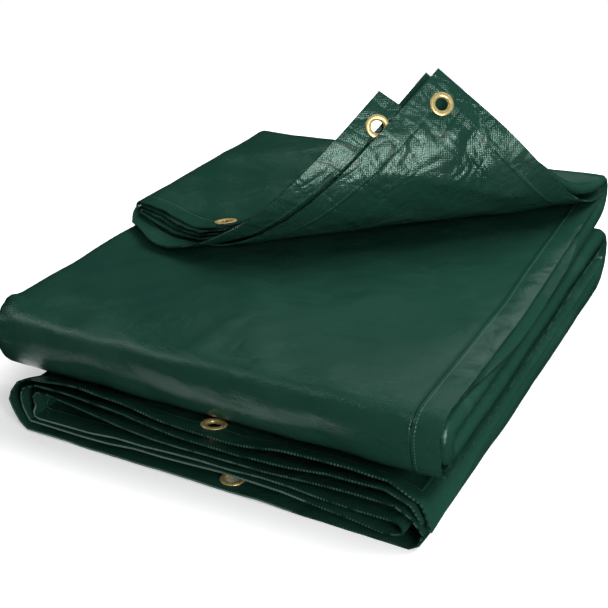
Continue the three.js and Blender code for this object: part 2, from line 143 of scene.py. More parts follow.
# The flap's hem across the width, a row for each layer: x and y in the bundle's plan
FLAP_HEMS = [
    [(-34, 257), (30, 234), (75, 221), (104, 214), (150, 210), (410, 208)],
    [(-34, 240), (-19, 231), (13, 208), (30, 196), (67, 187), (150, 184), (353, 180)],
    [(-34, 252), (-4, 240), (30, 221), (48, 214), (85, 209.5), (104, 212), (150, 209), (404, 202)],
    [(-34, 255), (-8, 247), (35, 225), (60, 216), (80, 212), (104, 213), (150, 209), (404, 202)],
    [(-34, 256), (-1, 248), (20, 237), (60, 217), (91, 209), (104, 211), (150, 209), (404, 202)],
    [(-34, 257), (6, 247), (31, 236), (65, 221), (79, 217), (104, 213), (150, 209), (404, 202)],
]

# The main creases: height and half width, then the line in the cloth's flat places, measured
# from the outer layer's free edge and from the front hem. A trough has a height under 0.
CREASES = [
    (-1.8, 13, [(400, 1076), (352, 1066), (310, 1056)]),
    (1.2, 9, [(378, 1086), (330, 1076), (290, 1066)]),
    (-1.0, 8, [(288, 1062), (254, 1062), (220, 1056)]),
    (1.0, 7, [(238, 1006), (236, 1060), (233, 1150)]),
    (0.9, 9, [(140, 1322), (110, 1294), (79, 1327), (38, 1313)]),
    (-1.0, 14, [(300, 1235), (240, 1262), (170, 1282)]),
    (0.8, 8, [(150, 1140), (118, 1150), (78, 1148)]),
    (1.0, 16, [(415, 1190), (348, 1187), (270, 1178)]),
    (-1.0, 8, [(18, 1150), (15, 1190), (13, 1240)]),
    (1.1, 5, [(22, 1098), (13, 1108), (4, 1126)]),
    (1.0, 5, [(24, 1290), (14, 1296), (4, 1310)]),
    (-0.9, 5, [(22, 1352), (13, 1362), (3, 1370)]),
    (3.6, 9, [(141, 1858), (113, 1846), (91, 1815), (69, 1782), (58, 1752), (40, 1724), (10, 1704)]),
    (-1.4, 9, [(118, 1868), (100, 1836), (76, 1800)]),
    (2.4, 6, [(50, 1832), (31, 1820), (13, 1824)]),
    (2.6, 8, [(46, 1782), (41, 1764), (44, 1744)]),
    (2.0, 6, [(32, 1752), (28, 1736), (22, 1722)]),
    (1.8, 9, [(112, 1800), (102, 1762), (88, 1724), (60, 1704)]),
    (1.6, 7, [(84, 1700), (66, 1668), (52, 1640)]),
    (1.5, 10, [(178, 1838), (150, 1806), (136, 1768)]),
    (1.4, 7, [(962, 290), (957, 262), (950, 240)]),
    (3.4, 7, [(430, 1070), (452, 1079), (486, 1080)]),
    (-3.2, 7, [(436, 1054), (486, 1056)]),
    (2.6, 7, [(438, 1032), (486, 1030)]),
]
CREASE_TAPER = 0.22

# Slow unevenness all over: height, wave lengths across and along, and phase
UNEVENNESS = [(0.32, 118, 171, 0.4), (0.26, 83, -129, 2.1), (0.2, -61, 94, 4.0), (0.12, 38, 57, 1.2)]

# The corner thrown back, as a roll about a slanting line: its radius and turn at the line's start and what
# they gain over its span, then how far apart its layers lie, and how far into the roll they have spread
ROLL_BEARING = 0.711
ROLL_OFFSET = -121.2
ROLL_RADIUS = (79.1, 4.8)
ROLL_TURN = (2.018, 0.085)
ROLL_SPAN = 400
ROLL_LAYERS = [0, 5.4, 12.8, 16, 20, 23.4]
ROLL_SPREAD = 120


# The cloth's flat places run along these two lines of the folded cloth: the row in the middle of the third
# level, and a column of the outer layer
FLAT_RUN = 2.5
FLAT_COLUMN = 20
HEM_SWELL = 0.8
FLOOR_GAP = 0.05

# In metres of the flat cloth: where the front fold lies, where the flap begins, and the parts of the width
# that make up the thrown corner
NOSE_FLAT_Y = 1.075
FLAP_FLAT_Y = (1.6, 1.68)
CORNER_FLAT_X = ((0.2, 0.3), (2.42, 2.5))
STITCH_LENGTH = 0.0034
STITCH_INSET = 0.004

# The eyelets: the flat seat and the hole in the cloth, how much cloth is cut anew past the seat, and the
# brass ring's section as radius and height
SEAT_RADIUS = 12.6
HOLE_RADIUS = 7.3
CUT_MARGIN = 3
EYELET_SECTION = [
    (6.5, -1.4), (6.8, -1.62), (7.4, -1.7), (9.5, -1.68), (11.2, -1.55), (11.6, -1.3), (11.4, -1.12),
    (7.2, -1.12), (7.2, 1.12), (11.6, 1.12), (12.0, 1.35), (11.85, 1.7), (11.3, 1.95), (10.4, 2.1),
    (9.5, 2.12), (8.6, 2.08), (7.8, 1.9), (7.1, 1.5), (6.65, 1.0), (6.5, 0.4),
]
EYELET_STEPS = 56

# Each light's bearing from the back towards the right, its height over the floor as an angle, its distance,
# its size, its radiance, and whether the cloth mirrors it
LIGHTS = [
    ("key", 42, 50, 2.2, (1.6, 1.3), 12.4, False),
    ("flap sheen", 130, 29, 1.8, (0.36, 0.26), 22.0, True),
    ("low sheen", 134, 7, 1.6, (0.5, 0.5), 20.0, True),
    ("nose sheen", -115, 43, 1.7, (0.4, 0.6), 3.6, True),
    ("far panel", -13, 33, 2.6, (1.2, 0.6), 1.2, True),
    ("overhead", -33, 67, 1.6, (0.3, 0.3), 3.0, True),
]
LIGHT_TARGET = (0, 0, 0.1)
SEEN_SURROUND = 1.02

# The floor's two parts, in metres: the near one, which the front fold mirrors, and the far one round it. The
# floor glows a little to the camera and more to mirror rays, but not under the bundle.
NEAR_FLOOR = (-0.262, 0.1, -0.315, 0.1)
FLOOR_REACH = 1
FLOOR_COLOUR = (0.95, 0.95, 0.955)
FLOOR_BOUNCE = (0.35, 0.35, 0.35)
FLOOR_GLOW = 0.2
FLOOR_MIRRORED = 0.7
BUNDLE_REACH = {"X": 0.17, "Y": 0.255}

# The photo's camera: place in metres, yaw, downward pitch and roll in radians, and lens in millimetres
CAMERA_PLACE = (0.4779, -0.8915, 0.5642)
CAMERA_ANGLES = (-0.52006, 0.46711, -0.04469)
CAMERA_SENSOR = 36
CAMERA_LENS = 63.19


def curve(table, key):
    """A smooth value off a table of rising (key, value) pairs, which never overshoots them."""
    xs, ys = np.array(table, float).T
    key = np.clip(np.asarray(key, float), xs[0], xs[-1])
    step = np.diff(xs)
    slope = np.diff(ys) / step
    tangent = np.zeros_like(ys)
    tangent[0], tangent[-1] = slope[0], slope[-1]
    for i in range(1, len(xs) - 1):
        if slope[i - 1] * slope[i] > 0:
            tangent[i] = 2 / (1 / slope[i - 1] + 1 / slope[i])
    i = np.clip(np.searchsorted(xs, key, side="right") - 1, 0, len(step) - 1)
    t = (key - xs[i]) / step[i]
    rise = ys[i] * (1 + 2 * t) * (1 - t) ** 2 + ys[i + 1] * t * t * (3 - 2 * t)
    return rise + step[i] * (tangent[i] * t * (1 - t) ** 2 + tangent[i + 1] * t * t * (t - 1))


def mix(a, b, share):
    return a + (b - a) * share


def smooth(share):
    share = np.clip(share, 0, 1)
    return share * share * (3 - 2 * share)


def strip_rows():
    """The stations along the strip: run, level (a half is a fold), station and layer distances.

    The station is y on a level, an angle round a fold, and on the flap the share of the way to its hem.
    """
    even = np.linspace(PAST_HEM_Y, FOLD_1_Y, LEVEL_STEPS[0])
    rows = [(y / FOLD_1_Y, 0, y, LEVEL_LAYERS[0]) for y in [*HEM_STATIONS, *even]]

    def fold(level):
        for share in np.linspace(0, 1, FOLD_STEPS[level] + 1)[1:]:
            layers = mix(LEVEL_LAYERS[level], LEVEL_LAYERS[level + 1], share)
            rows.append((level + 1, level + 0.5, math.pi * (share - 0.5), layers))

    fold(0)
    for y in np.linspace(FOLD_1_Y, NOSE_Y, LEVEL_STEPS[1])[1:]:
        rows.append((1 + (FOLD_1_Y - y) / (FOLD_1_Y - NOSE_Y), 1, y, LEVEL_LAYERS[1]))
    fold(1)
    for y in np.linspace(NOSE_Y, FOLD_3_Y, LEVEL_STEPS[2])[1:]:
        rows.append((2 + (y - NOSE_Y) / (FOLD_3_Y - NOSE_Y), 2, y, LEVEL_LAYERS[2]))
    fold(2)
    hem = 1 - np.array(HEM_STATIONS[::-1]) / (FOLD_3_Y - FLAP_HEM_Y)
    for share in [*np.linspace(0, hem[0], LEVEL_STEPS[3])[1:-1], *hem]:
        rows.append((3 + share, 3, share, LEVEL_LAYERS[3]))
    return rows


ROWS = strip_rows()
RUN = np.array([row[0] for row in ROWS])
LEVEL = np.array([row[1] for row in ROWS])
STATION = np.array([row[2] for row in ROWS])
LAYERS = np.array([row[3] for row in ROWS])
WIDTH = {name: curve(table, RUN) for name, table in WIDTHS.items()}


def half_between(pair):
    return (LAYERS[:, pair[1]] - LAYERS[:, pair[0]]) / 2


def bend_at(pairs, pair, side):
    """Where a bend's straight layers end in each row, how far it reaches beyond them, and its section."""
    half = half_between(pair)
    depth = BEND_DEPTH * half
    inset = half_between(pairs[0]) - half + NEST_GAP * pairs.index(pair) + depth
    end = WIDTH["left" if side < 0 else "right"] - side * inset
    return end, depth, half, (LAYERS[:, pair[0]] + LAYERS[:, pair[1]]) / 2


def layer_end(layer, side):
    pairs = LEFT_BENDS if side < 0 else RIGHT_BENDS
    for pair in pairs:
        if layer in pair:
            return bend_at(pairs, pair, side)[0]
    return WIDTH["edge1" if layer == 0 else "edge2"] - EDGE_DEPTH


def front_height(layer, x):
    return curve(list(zip(FRONT_X, FRONT_HEMS[layer]["heights"])), x)


def hem_of(layer, x):
    return curve(FLAP_HEMS[layer], x)


class Column:
    """A line along the strip: its x and its distance from the outer layer in each row, its loose front end,
    and the two layers it lies between with its share of the way from one to the other."""

    def __init__(self, x, distance, front, layers, share):
        self.x = x
        self.distance = distance
        self.front = front
        self.layers = layers
        self.share = share

    def hem(self):
        a, b = self.layers
        return mix(hem_of(a, self.x), hem_of(b, self.x), self.share)


def layer_columns(layer, shares):
    """The lines of a straight layer, at shares of the way from its left end to its right."""
    front = FRONT_HEMS[layer]
    left, right = layer_end(layer, -1), layer_end(layer, 1)
    for share in shares:
        x = mix(front["left"], front["right"], share)
        loose = (x, front["y"], float(front_height(layer, x)))
        yield Column(mix(left, right, share), LAYERS[:, layer], loose, (layer, layer), 0)


def bend_columns(side, index, steps, rising):
    """The lines round a bend. rising: the distance from the outer layer grows along it."""
    pairs = LEFT_BENDS if side < 0 else RIGHT_BENDS
    pair = pairs[index]
    first, last = pair if rising else pair[::-1]
    points = FRONT_BENDS[side, index]
    if not rising:
        points = points[::-1]
    ends = []
    for layer in (first, last):
        x = FRONT_HEMS[layer]["left" if side < 0 else "right"]
        ends.append((x, float(front_height(layer, x))))
    path = np.array([ends[0], *points, ends[1]], float)
    at = np.linspace(0, 1, len(path))
    end, depth, half, middle = bend_at(pairs, pair, side)
    for share in np.linspace(0, 1, steps + 2)[1:-1]:
        angle = math.pi * (share - 0.5) * (1 if rising else -1)
        y = mix(FRONT_HEMS[first]["y"], FRONT_HEMS[last]["y"], share)
        loose = (np.interp(share, at, path[:, 0]), y, np.interp(share, at, path[:, 1]))
        x = end + side * depth * math.cos(angle)
        yield Column(x, middle + half * math.sin(angle), loose, (first, last), share)


def edge_columns(layer, insets):
    """The free edge of the outer layer or of the one under it, from the edge inwards."""
    name = str(layer + 1)
    hem = FRONT_HEMS[layer]
    inner = (hem["right"], float(front_height(layer, hem["right"])))
    path = np.array([*FRONT_EDGES[layer], inner], float)
    for inset in insets:
        x, z = [np.interp(inset, [0, EDGE_BEND, EDGE_DEPTH], path[:, axis]) for axis in (0, 1)]
        distance = LAYERS[:, layer] + curve(EDGE_TURN, inset) * WIDTH["turn" + name]
        yield Column(WIDTH["edge" + name] - inset, distance, (x, hem["y"], z), (layer, layer), 0)


def cloth_columns():
    """All the lines across the cloth in turn, from one free edge to the other."""
    top, bottom, second, hidden = [
        np.linspace(0, 1, lines) for lines in (TOP_LINES, BOTTOM_LINES, SECOND_LINES, HIDDEN_LINES)
    ]
    return [
        *edge_columns(0, EDGE_INSETS),
        *layer_columns(0, top[::-1]),
        *bend_columns(-1, 0, 8, True),
        *layer_columns(5, bottom),
        *bend_columns(1, 0, 7, False),
        *layer_columns(2, hidden[::-1]),
        *bend_columns(-1, 2, 5, True),
        *layer_columns(3, hidden),
        *bend_columns(1, 1, 4, True),
        *layer_columns(4, hidden[::-1]),
        *bend_columns(-1, 1, 6, False),
        *layer_columns(1, second),
        *edge_columns(1, EDGE_INSETS[::-1]),
    ]


def roll_back(x, y, distance):
    """A point of the flap's plan, at a distance above its lowest layer, taken round the corner's roll."""
    cos, sin = math.cos(ROLL_BEARING), math.sin(ROLL_BEARING)
    along = x * cos + y * sin
    beyond = x * sin - y * cos - ROLL_OFFSET
    radius = ROLL_RADIUS[0] + ROLL_RADIUS[1] * along / ROLL_SPAN
    turn = ROLL_TURN[0] + ROLL_TURN[1] * along / ROLL_SPAN
    spread = np.interp(distance, LEVEL_LAYERS[3], ROLL_LAYERS)
    reach = radius - mix(distance, spread, smooth(beyond / ROLL_SPREAD))
    angle = np.minimum(beyond / radius, turn)
    straight = np.maximum(0, beyond - radius * turn)
    forward = ROLL_OFFSET + reach * np.sin(angle) + straight * np.cos(turn)
    height = radius - reach * np.cos(angle) + straight * np.sin(turn)
    rolled = [along * cos + forward * sin, along * sin - forward * cos, LEVEL_HEIGHTS[3] + height]
    flat = [x, y, LEVEL_HEIGHTS[3] + distance]
    return np.where((beyond <= 0)[:, None], np.stack(flat, -1), np.stack(rolled, -1))


def nose_section(share):
    """The nose's section at even steps of its length."""
    legs = np.linalg.norm(np.diff(NOSE_SECTION, axis=0), axis=1)
    at = np.concatenate([[0], np.cumsum(legs)]) / legs.sum()
    return [curve(list(zip(at, NOSE_SECTION[:, axis])), share) for axis in (0, 1)]


def packed_points(column):
    """The line in the tight bundle, before its front end is loosened."""
    x, distance = column.x, column.distance
    points = np.zeros((len(RUN), 3))
    points[:, 0] = x
    for level in range(4):
        rows = LEVEL == level
        points[rows, 1] = STATION[rows]
        points[rows, 2] = LEVEL_HEIGHTS[level] + LEVEL_SIDES[level] * distance[rows]
    for level, axis_y, side in ((0, FOLD_1_Y, 1), (1, NOSE_Y, -1), (2, FOLD_3_Y, 1)):
        rows = LEVEL == level + 0.5
        low, high = LEVEL_HEIGHTS[level], LEVEL_HEIGHTS[level + 1]
        radius = (high - low) / 2 + side * distance[rows]
        before, over = np.cos(STATION[rows]), np.sin(STATION[rows])
        if level == 1:
            before, over = nose_section(STATION[rows] / math.pi + 0.5)
        points[rows, 1] = axis_y + side * radius * before
        points[rows, 2] = (low + high) / 2 + radius * over
    flap = LEVEL == 3
    y = mix(FOLD_3_Y, column.hem()[flap], STATION[flap])
    points[flap] = roll_back(x[flap], y, distance[flap])
    return points


def loosened(column, points):
    """The line with its front end spread as the loose hems stand."""
    level = np.flatnonzero(LEVEL == 0)
    y = STATION[level]
    front_x, front_y, front_z = column.front
    stands = []
    for station, share, ceiling in zip(LOOSE_Y, LOOSE_SHARES, LOOSE_CEILINGS):
        x = np.interp(station, y, points[level, 0])
        z = np.interp(station, y, points[level, 2])
        upper = mix(LEVEL_HEIGHTS[0], float(front_height(0, front_x)), share)
        height = min(1, ceiling / upper) * mix(z, front_z, share)
        stands.append((mix(x, front_x, share), station + share * front_y, max(LOWEST, height)))
    stands = np.array(stands)
    rows = level[y <= LOOSE_Y[-1]]
    for axis in range(3):
        points[rows, axis] = curve(list(zip(LOOSE_Y, stands[:, axis])), STATION[rows])
    return points


def lengths_along(points, axis):
    """Each point's distance along its row or column of the grid."""
    steps = np.linalg.norm(np.diff(points, axis=axis), axis=-1)
    total = np.cumsum(steps, axis=axis)
    pad = [(0, 0), (0, 0)]
    pad[axis] = (1, 0)
    return np.pad(total, pad)


def surface_normals(points):
    along = np.gradient(points, axis=0)
    across = np.gradient(points, axis=1)
    normals = np.cross(along, across)
    return normals / np.linalg.norm(normals, axis=-1, keepdims=True)


def eyelet_places():
    """Each eyelet of the solid: its middle, and the direction its rolled face looks, in millimetres."""
    places = {}
    for name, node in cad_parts.items():
        if not name.startswith("eyelet_"):
            continue
        corners = np.array([tuple(v.co) for v in node.data.vertices]) / MM
        middle = corners.mean(axis=0)
        axis = np.linalg.svd(corners - middle)[2][2]
        looks = np.array([0.5, -0.6, 0.6])
        if axis @ looks < 0:
            axis = -axis
        places[name[len("eyelet_"):]] = (middle, axis)
    return places


def crease_heights(flat):
    """How far the creases and the slow unevenness raise each flat place off the folds."""
    raised = np.zeros(flat.shape[:-1])
    for height, across, along, phase in UNEVENNESS:
        raised += height * np.sin(2 * math.pi * (flat[..., 0] / across + flat[..., 1] / along) + phase)
    for height, half_width, line in CREASES:
        line = np.array(line, float)
        legs = np.diff(line, axis=0)
        lengths = np.linalg.norm(legs, axis=1)
        starts = np.concatenate([[0], np.cumsum(lengths)])
        nearest = np.full(flat.shape[:-1], np.inf)
        along = np.zeros_like(nearest)
        for start, leg, length, begun in zip(line, legs, lengths, starts):
            share = np.clip((flat - start) @ leg / length**2, 0, 1)
            apart = np.linalg.norm(flat - start - share[..., None] * leg, axis=-1)
            closer = apart < nearest
            nearest = np.where(closer, apart, nearest)
            along = np.where(closer, (begun + share * length) / starts[-1], along)
        taper = smooth(along / CREASE_TAPER) * smooth((1 - along) / CREASE_TAPER)
        raised += height * taper * np.exp(-((nearest / half_width) ** 2))
    return raised


class ClothMesh:
    """The cloth's middle surface as points, normals, half thicknesses and flat places, with its faces."""

    def __init__(self, settings):
        columns = cloth_columns()
        grid = np.stack([loosened(c, packed_points(c)) for c in columns], axis=1)
        self.shape = grid.shape[:2]
        normals = surface_normals(grid)
        flat_u = lengths_along(grid, 1)[RUN.searchsorted(FLAT_RUN)]
        flat_v = lengths_along(grid, 0)[:, FLAT_COLUMN]
        flat = np.stack(np.broadcast_arrays(flat_u[None, :], flat_v[:, None]), -1)
        self.flat_size = (flat_u[-1] * MM, flat_v[-1] * MM)
        from_hem = np.minimum(flat[..., 1], flat_v[-1] - flat[..., 1])
        from_edge = np.minimum(flat[..., 0], flat_u[-1] - flat[..., 0])
        hem = 1 - smooth((np.minimum(from_hem, from_edge) - settings.hem_width / MM) + 0.5)
        half = settings.cloth_thickness / MM / 2 * (1 + HEM_SWELL * hem)
        grid = grid + normals * crease_heights(flat)[..., None]
        grid[..., 2] = np.maximum(grid[..., 2], half + FLOOR_GAP)
        normals = surface_normals(grid)
        self.points = grid.reshape(-1, 3) - PLAN_CENTRE
        self.normals = normals.reshape(-1, 3)
        self.half = half.reshape(-1)
        self.flat = flat.reshape(-1, 2)
        rows, cols = self.shape
        index = np.arange(rows * cols).reshape(rows, cols)
        self.cells = np.stack([index[:-1, :-1], index[1:, :-1], index[1:, 1:], index[:-1, 1:]], -1)
        self.kept = np.ones((rows - 1, cols - 1), bool)
        self.extra_faces = []

    def add_point(self, point, normal, half, flat):
        self.points = np.vstack([self.points, point])
        self.normals = np.vstack([self.normals, normal])
        self.half = np.append(self.half, half)
        self.flat = np.vstack([self.flat, flat])
        return len(self.points) - 1

    def cut_hole(self, middle, axis):
        """Sets a flat ring with a round hole into the cells round an eyelet."""
        rows, cols = self.shape
        nearest = int(np.argmin(np.linalg.norm(self.points[: rows * cols] - middle, axis=1)))
        row, col = divmod(nearest, cols)
        flat = self.flat[: rows * cols].reshape(rows, cols, 2)
        here = flat[row, col]
        reach = SEAT_RADIUS + CUT_MARGIN
        top = max(r for r in range(row + 1) if here[1] - flat[r, col, 1] > reach)
        bottom = min(r for r in range(row, rows) if flat[r, col, 1] - here[1] > reach)
        left = max(c for c in range(col + 1) if here[0] - flat[row, c, 0] > reach)
        right = min(c for c in range(col, cols) if flat[row, c, 0] - here[0] > reach)
        self.kept[top:bottom, left:right] = False
        loop = [(top, c) for c in range(left, right)]
        loop += [(r, right) for r in range(top, bottom)]
        loop += [(bottom, c) for c in range(right, left, -1)]
        loop += [(r, left) for r in range(bottom, top, -1)]
        outer = [r * cols + c for r, c in loop]
        normal = axis if axis @ self.normals[nearest] > 0 else -axis
        spokes = self.points[outer] - middle
        spokes -= np.outer(spokes @ normal, normal)
        lengths = np.linalg.norm(spokes, axis=1)
        rings = [outer]
        for radius in (SEAT_RADIUS, HOLE_RADIUS):
            ring = []
            for k, start in enumerate(outer):
                share = radius / lengths[k]
                flat_place = mix(here, self.flat[start], share)
                point = middle + spokes[k] * share
                ring.append(self.add_point(point, normal, self.half[start], flat_place))
            rings.append(ring)
        for outside, inside in zip(rings, rings[1:]):
            for k in range(len(outside)):
                after = (k + 1) % len(outside)
                self.extra_faces.append((outside[after], outside[k], inside[k], inside[after]))

    def build(self, name):
        """The closed shell, with its flat places as a UV map in metres."""
        faces = np.vstack([self.cells[self.kept].reshape(-1, 4), np.array(self.extra_faces, int)])
        first, ahead, _, aside = self.points[faces[0]]
        if np.cross(ahead - first, aside - first) @ self.normals[faces[0, 0]] < 0:
            faces = faces[:, ::-1]
        count = len(self.points)
        edges = np.stack([faces, np.roll(faces, -1, axis=1)], -1).reshape(-1, 2)
        keys = edges[:, 0] * count + edges[:, 1]
        backwards = edges[:, 1] * count + edges[:, 0]
        rim = edges[~np.isin(keys, backwards)]
        rims = np.stack([rim[:, 1], rim[:, 0], rim[:, 0] + count, rim[:, 1] + count], -1)
        offset = self.normals * self.half[:, None]
        vertices = np.vstack([self.points + offset, self.points - offset]) * MM
        all_faces = np.vstack([faces, faces[:, ::-1] + count, rims])
        used = np.unique(all_faces)
        renumber = np.zeros(2 * count, int)
        renumber[used] = np.arange(len(used))
        mesh = bpy.data.meshes.new(name)
        mesh.from_pydata(vertices[used], [], renumber[all_faces].tolist())
        uv = mesh.uv_layers.new(name="flat")
        places = np.vstack([self.flat, self.flat])[used] * MM
        loops = np.zeros(len(mesh.loops), int)
        mesh.loops.foreach_get("vertex_index", loops)
        uv.data.foreach_set("uv", places[loops].astype(np.float32).reshape(-1))
        mesh.polygons.foreach_set("use_smooth", np.ones(len(mesh.polygons), bool))
        materials = np.zeros(len(mesh.polygons), int)
        materials[-len(rims):] = 1
        mesh.polygons.foreach_set("material_index", materials)
        mesh.set_sharp_from_angle(angle=math.radians(55))
        mesh.update()
        return mesh


def add_object(name, mesh, materials):
    made = bpy.data.objects.new(name, mesh)
    bpy.context.scene.collection.objects.link(made)
    for material in materials:
        mesh.materials.append(material)
    return made


def new_group(name, inputs, outputs):
    """An empty node group, with its named sockets, and its two end nodes."""
    group = bpy.data.node_groups.new(name, "ShaderNodeTree")
    for socket, kind, value in inputs:
        made = group.interface.new_socket(socket, in_out="INPUT", socket_type=kind)
        if value is not None:
            made.default_value = value
    for socket, kind in outputs:
        group.interface.new_socket(socket, in_out="OUTPUT", socket_type=kind)
    start = group.nodes.new("NodeGroupInput")
    end = group.nodes.new("NodeGroupOutput")
    return group, start, end


def connect(tree, source, target):
    tree.links.new(source, target)


def math_node(tree, operation, first, second=None, third=None):
    node = tree.nodes.new("ShaderNodeMath")
    node.operation = operation
    for socket, value in zip(node.inputs, (first, second, third)):
        if value is None:
            continue
        if isinstance(value, (int, float)):
            socket.default_value = value
        else:
            connect(tree, value, socket)
    return node.outputs[0]


def apart(tree, first, second):
    """How far two values are from each other."""
    return math_node(tree, "ABSOLUTE", math_node(tree, "SUBTRACT", first, second))


def remap(tree, value, low, high, to_low, to_high):
    node = tree.nodes.new("ShaderNodeMapRange")
    node.interpolation_type = "SMOOTHSTEP"
    connect(tree, value, node.inputs["Value"])
    for name, number in (("From Min", low), ("From Max", high), ("To Min", to_low), ("To Max", to_high)):
        node.inputs[name].default_value = number
    return node.outputs["Result"]


def noise(tree, vector, scale, detail, roughness=0.5, distortion=0.0):
    node = tree.nodes.new("ShaderNodeTexNoise")
    node.inputs["Scale"].default_value = scale
    node.inputs["Detail"].default_value = detail
    node.inputs["Roughness"].default_value = roughness
    node.inputs["Distortion"].default_value = distortion
    connect(tree, vector, node.inputs["Vector"])
    return node.outputs["Fac"]


def stretched(tree, vector, scale, turn=0.0):
    node = tree.nodes.new("ShaderNodeMapping")
    node.inputs["Scale"].default_value = scale
    node.inputs["Rotation"].default_value = (0, 0, turn)
    connect(tree, vector, node.inputs["Vector"])
    return node.outputs["Vector"]


def weave_group():
    """The scrim that shows through the coating: a plain weave, uneven from place to place."""
    group, start, end = new_group(
        "Coated weave",
        [("Flat place", "NodeSocketVector", None), ("Threads per metre", "NodeSocketFloat", 600.0)],
        [("Height", "NodeSocketFloat")],
    )
    split = group.nodes.new("ShaderNodeSeparateXYZ")
    connect(group, start.outputs["Flat place"], split.inputs[0])
    waves = []
    for axis in "XY":
        turns = math_node(group, "MULTIPLY", split.outputs[axis], start.outputs["Threads per metre"])
        waves.append(math_node(group, "SINE", math_node(group, "MULTIPLY", turns, 2 * math.pi)))
    knots = math_node(group, "MULTIPLY", waves[0], waves[1])
    uneven = noise(group, start.outputs["Flat place"], 420, 2)
    height = math_node(group, "MULTIPLY_ADD", knots, 0.5, math_node(group, "MULTIPLY", uneven, 1.5))
    connect(group, height, end.inputs["Height"])
    return group


def crumple_group():
    """What folding and packing leave in the coating: soft dents everywhere, crinkles on the thrown corner and
    at the fold, faint lines, a haze, and how far the cloth's threads are drawn through."""
    outputs = [(name, "NodeSocketFloat") for name in ("Dents", "Crinkles", "Lines", "Haze", "Stretch")]
    group, start, end = new_group("Packing creases", [("Flat place", "NodeSocketVector", None)], outputs)
    place = start.outputs["Flat place"]
    connect(group, noise(group, stretched(group, place, (9, 13, 1)), 1, 3, 0.45, 0.6), end.inputs["Dents"])
    folds = []
    for scale, turn in (((16, 34, 1), 0.6), ((38, 20, 1), -0.4)):
        wave = noise(group, stretched(group, place, scale, turn), 1, 2, 0.45, 0.7)
        folds.append(apart(group, wave, 0.5))
    along = group.nodes.new("ShaderNodeSeparateXYZ")
    connect(group, place, along.inputs[0])
    on_flap = remap(group, along.outputs["Y"], *FLAP_FLAT_Y, 0.22, 1)
    first = remap(group, along.outputs["X"], *CORNER_FLAT_X[0], 1, 0.12)
    last = remap(group, along.outputs["X"], *CORNER_FLAT_X[1], 0, 1)
    on_corner = math_node(group, "MULTIPLY", on_flap, math_node(group, "MAXIMUM", first, last))
    by_edge = remap(group, along.outputs["X"], 0.012, 0.03, 0.5, 0)
    from_nose = apart(group, along.outputs["Y"], NOSE_FLAT_Y)
    by_nose = remap(group, from_nose, 0.03, 0.06, 0.3, 0)
    where = math_node(group, "MAXIMUM", on_corner, math_node(group, "MAXIMUM", by_edge, by_nose))
    crinkles = math_node(group, "MULTIPLY", math_node(group, "ADD", *folds), where)
    connect(group, crinkles, end.inputs["Crinkles"])
    # The threads show most where the cloth is drawn tight: over the nose and on the thrown corner
    at_nose = remap(group, from_nose, 0.03, 0.07, 1.7, 0.7)
    connect(group, math_node(group, "MULTIPLY_ADD", on_corner, 0.6, at_nose), end.inputs["Stretch"])
    lines = []
    for scale, turn in (((5, 22, 1), 0.5), ((26, 6, 1), -0.35)):
        wave = noise(group, stretched(group, place, scale, turn), 1, 2, 0.4, 0.8)
        lines.append(remap(group, apart(group, wave, 0.5), 0, 0.012, 1, 0))
    patchy = remap(group, noise(group, place, 6, 2), 0.5, 0.65, 0, 1)
    both = math_node(group, "MULTIPLY", math_node(group, "MAXIMUM", lines[0], lines[1]), patchy)
    connect(group, both, end.inputs["Lines"])
    cloud = noise(group, stretched(group, place, (7, 9, 1), 0.4), 1, 4, 0.6, 0.4)
    connect(group, remap(group, cloud, 0.45, 0.75, 0, 1), end.inputs["Haze"])
    return group


def seam_group():
    """The hems' stitching, by distance from the cloth's own border: 1 on a thread of its row, the stitches'
    beat along the cut rim, which the rim's colour also uses for its painted highlight, and the seam's groove."""
    group, start, end = new_group(
        "Hem stitching",
        [
            ("Flat place", "NodeSocketVector", None),
            ("Width", "NodeSocketFloat", 2.5),
            ("Length", "NodeSocketFloat", 2.0),
            ("Hem", "NodeSocketFloat", 0.025),
        ],
        [("Thread", "NodeSocketFloat"), ("Beat", "NodeSocketFloat"), ("Groove", "NodeSocketFloat")],
    )
    split = group.nodes.new("ShaderNodeSeparateXYZ")
    connect(group, start.outputs["Flat place"], split.inputs[0])
    borders = []
    for axis, size in (("X", "Width"), ("Y", "Length")):
        here = split.outputs[axis]
        there = math_node(group, "SUBTRACT", start.outputs[size], here)
        borders.append(math_node(group, "MINIMUM", here, there))
    border = math_node(group, "MINIMUM", borders[0], borders[1])
    run = math_node(group, "ADD", split.outputs["X"], split.outputs["Y"])
    beat = math_node(group, "SINE", math_node(group, "MULTIPLY", run, 2 * math.pi / STITCH_LENGTH))
    dash = remap(group, beat, -0.4, 0.1, 0, 1)
    from_row = apart(group, border, math_node(group, "SUBTRACT", start.outputs["Hem"], STITCH_INSET))
    thread = math_node(group, "MULTIPLY", remap(group, from_row, 0.0002, 0.0008, 1, 0), dash)
    connect(group, thread, end.inputs["Thread"])
    uneven = remap(group, noise(group, start.outputs["Flat place"], 60, 2), 0.35, 0.6, 0, 1)
    connect(group, math_node(group, "MULTIPLY", dash, uneven), end.inputs["Beat"])
    from_seam = apart(group, border, start.outputs["Hem"])
    connect(group, remap(group, from_seam, 0.0002, 0.0012, 1, 0), end.inputs["Groove"])
    return group


def place_group(tree, group, **inputs):
    node = tree.nodes.new("ShaderNodeGroup")
    node.node_tree = group
    for name, value in inputs.items():
        socket = node.inputs[name.replace("_", " ")]
        if isinstance(value, (int, float)):
            socket.default_value = value
        else:
            connect(tree, value, socket)
    return node


def blank_material(name):
    material = bpy.data.materials.new(name)
    material.use_nodes = True
    tree = material.node_tree
    return material, tree, tree.nodes["Principled BSDF"]


